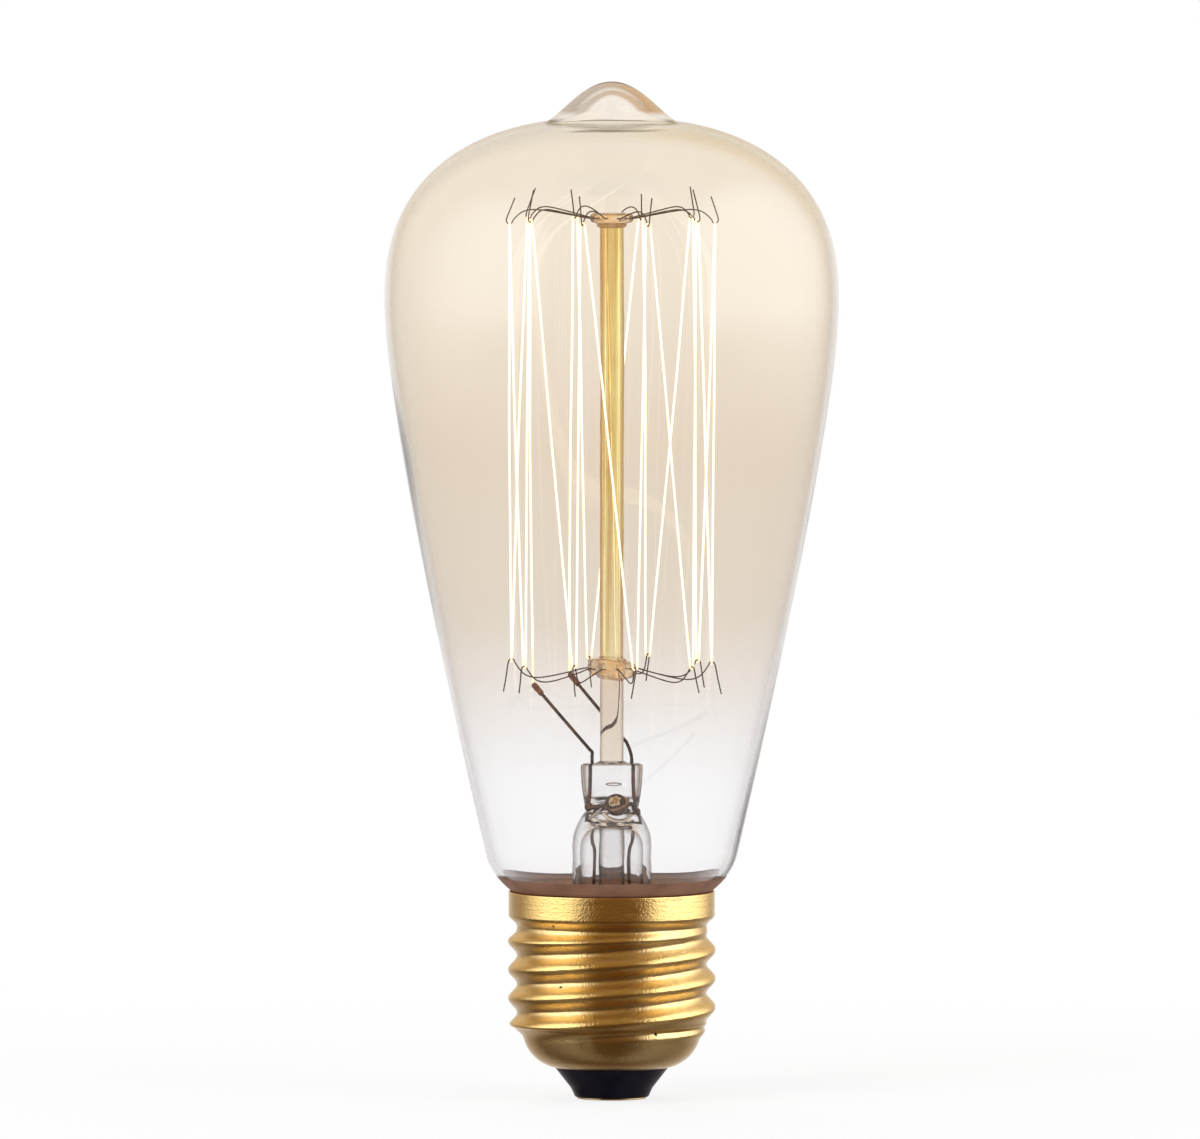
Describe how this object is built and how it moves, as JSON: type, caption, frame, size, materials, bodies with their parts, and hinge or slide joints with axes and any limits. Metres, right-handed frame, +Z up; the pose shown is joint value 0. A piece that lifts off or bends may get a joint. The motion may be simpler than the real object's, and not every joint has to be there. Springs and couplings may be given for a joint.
{
  "type": "filament bulb",
  "caption": "Pear-shaped filament bulb with a drawn tip, a screw cap, and a glass stem that carries a cage filament on hooked support wires.",
  "frame": {"origin": "centre of the lower face of the centre contact's solder, on the lamp's axis", "axes": "+Z up the lamp's axis towards the tip, +X to the viewer's right, +Y away from the viewer"},
  "size_m": [0.0574, 0.0574, 0.1287],
  "materials": {
    "amber_glass": "blown glass, amber lustre that fades out above the neck",
    "clear_glass": "fire-polished clear glass",
    "rod_glass": "drawn glass cane",
    "button_glass": "molten bead, orange-tan where it wets the wires",
    "cap_brass": "satin, slightly tarnished, fine pits",
    "cap_insulation": "black pressed glass, satin",
    "contact_brass": "stamped",
    "solder": "smooth solder",
    "cement": "baked brown cement",
    "support_wire": "drawn dark wire",
    "filament_wire": "glowing wire",
    "crimp_metal": "oxidised",
    "lead_nickel": "drawn, heat-darkened",
    "seal_copper": "copper-sheathed seal wire",
    "lead_copper": "drawn copper"
  },
  "bodies": {
    "root": {"glass_envelope": "amber_glass", "glass_stem": "clear_glass", "exhaust_tube": "clear_glass", "arbor_rod": "rod_glass", "lower_button": "button_glass", "upper_button": "button_glass", "cap_shell": "cap_brass", "cap_insulator": "cap_insulation", "centre_contact": "contact_brass", "centre_solder": "solder", "side_solder": "solder", "basing_cement": "cement", "upper_support_1": "support_wire", "upper_support_2": "support_wire", "upper_support_3": "support_wire", "upper_support_4": "support_wire", "upper_support_5": "support_wire", "upper_support_6": "support_wire", "upper_support_7": "support_wire", "upper_support_8": "support_wire", "upper_support_9": "support_wire", "upper_support_10": "support_wire", "lower_support_1": "support_wire", "lower_support_2": "support_wire", "lower_support_3": "support_wire", "lower_support_4": "support_wire", "lower_support_5": "support_wire", "lower_support_6": "support_wire", "lower_support_7": "support_wire", "lower_support_8": "support_wire", "lower_support_9": "support_wire", "filament": "filament_wire", "crimp_left": "crimp_metal", "crimp_right": "crimp_metal", "inner_lead_left": "lead_nickel", "inner_lead_right": "lead_nickel", "seal_wire_left": "seal_copper", "seal_wire_right": "seal_copper", "outer_lead_left": "lead_copper", "outer_lead_right": "lead_copper"}
  },
  "joints": []
}
